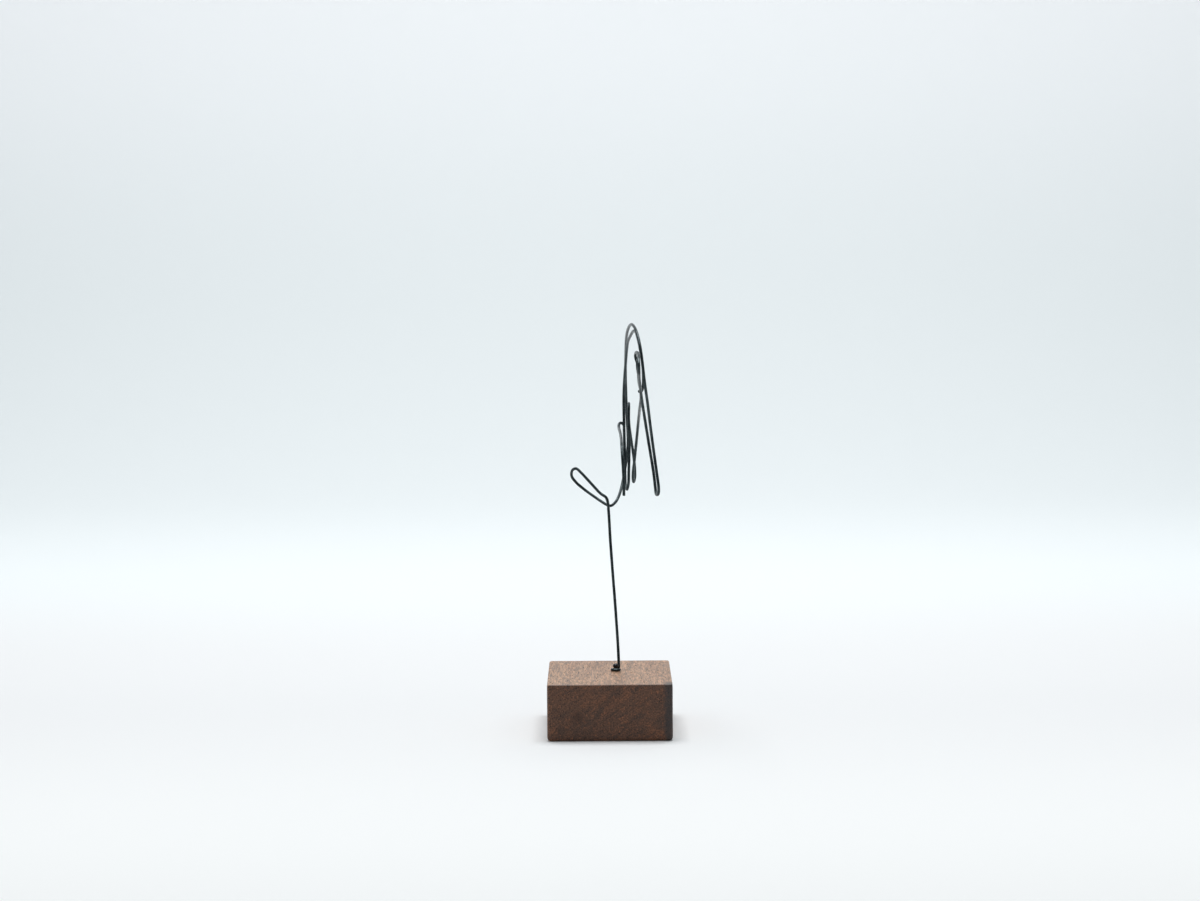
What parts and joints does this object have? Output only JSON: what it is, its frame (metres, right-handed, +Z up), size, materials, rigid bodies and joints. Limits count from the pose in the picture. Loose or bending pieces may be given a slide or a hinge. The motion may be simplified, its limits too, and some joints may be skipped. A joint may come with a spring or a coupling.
{
  "type": "wire animal sculpture",
  "caption": "Four-legged animal bent from dark steel wire, raised on a slender wire stem that a round-head pin holds to a rectangular walnut block.",
  "frame": {"origin": "centre of the block's underside", "axes": "+Z up from the table, -Y the way the animal's head points, +Y its tail, +X to the right of someone who faces its head"},
  "size_m": [0.05, 0.0842, 0.1652],
  "materials": {
    "walnut": "smooth oiled walnut with end grain on the short sides",
    "annealed_steel": "dark annealed wire, softly shining",
    "black_steel": "blackened steel"
  },
  "bodies": {
    "root": {"wood_block": "walnut", "figure_wire": "annealed_steel", "leg_wire": "annealed_steel", "round_head_pin": "black_steel"}
  },
  "joints": []
}
